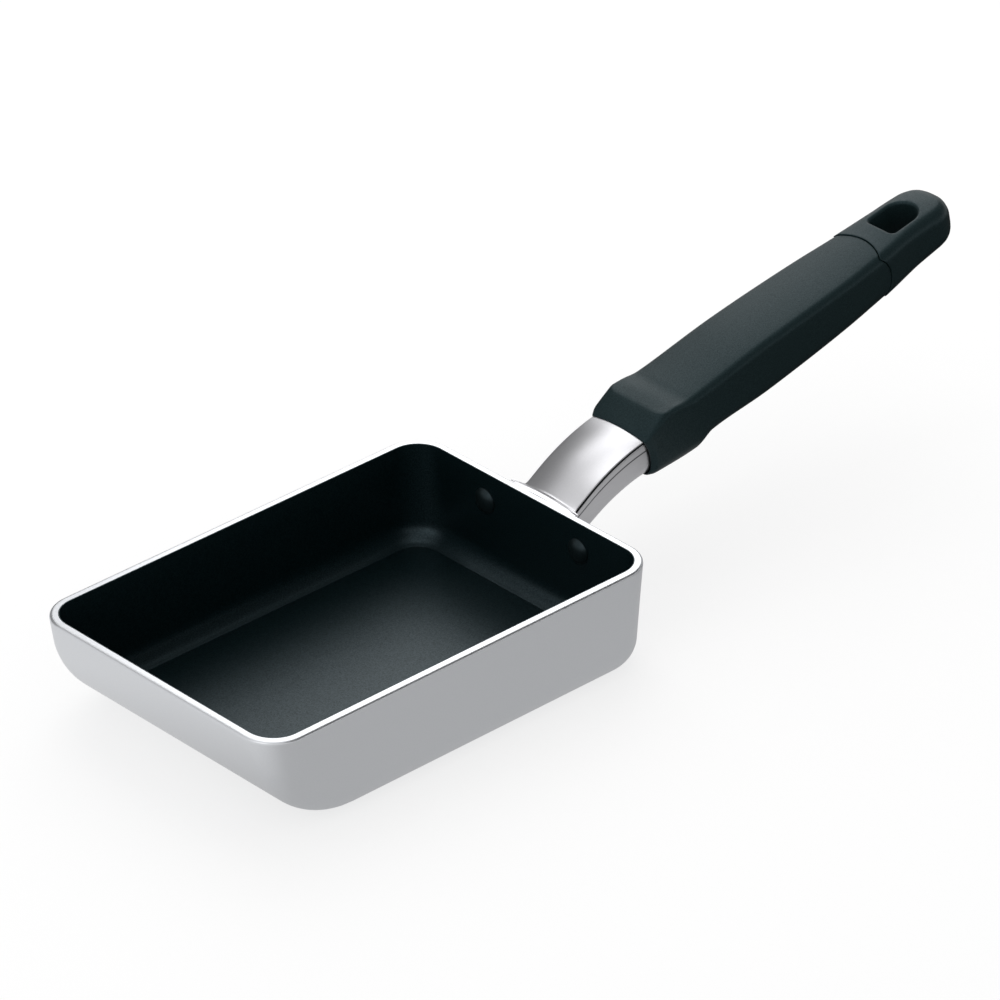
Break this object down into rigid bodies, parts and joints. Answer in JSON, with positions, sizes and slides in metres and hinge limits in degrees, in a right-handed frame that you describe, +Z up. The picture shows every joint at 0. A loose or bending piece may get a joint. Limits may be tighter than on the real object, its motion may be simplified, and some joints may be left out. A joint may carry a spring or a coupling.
{
  "type": "tamagoyaki pan",
  "caption": "Rectangular rolled-omelette pan: cast aluminium tray with non-stick lining, riveted metal neck and raised moulded handle with a hanging hole.",
  "frame": {"origin": "centre of the flat base's long and cross axes at the pan's mouth, on the resting face", "axes": "+X along the handle, away from the pan; +Z up; the object is symmetric about Y = 0"},
  "size_m": [0.3924, 0.126, 0.0918],
  "materials": {
    "cast_aluminium": "satin cast aluminium with a machined rim",
    "nonstick_black": "black non-stick coating with a fine sparkle",
    "coated_rivet": "black coated aluminium",
    "brushed_metal": "brushed stainless steel",
    "plain_steel": "plain rolled steel",
    "plated_steel": "zinc plated steel",
    "black_grip": "fine textured soft-touch moulding",
    "black_cap": "fine textured moulding"
  },
  "bodies": {
    "root": {"pan_body": "cast_aluminium", "nonstick_coating": "nonstick_black", "wall_rivets": "coated_rivet", "handle_bracket": "brushed_metal", "neck_cover": "brushed_metal", "tang": "plain_steel", "tang_pins": "plain_steel", "grip": "black_grip", "end_cap": "black_cap", "handle_screw": "plated_steel", "spring_washer": "plated_steel", "flat_washer": "plated_steel", "cap_screw": "plated_steel"}
  },
  "joints": []
}
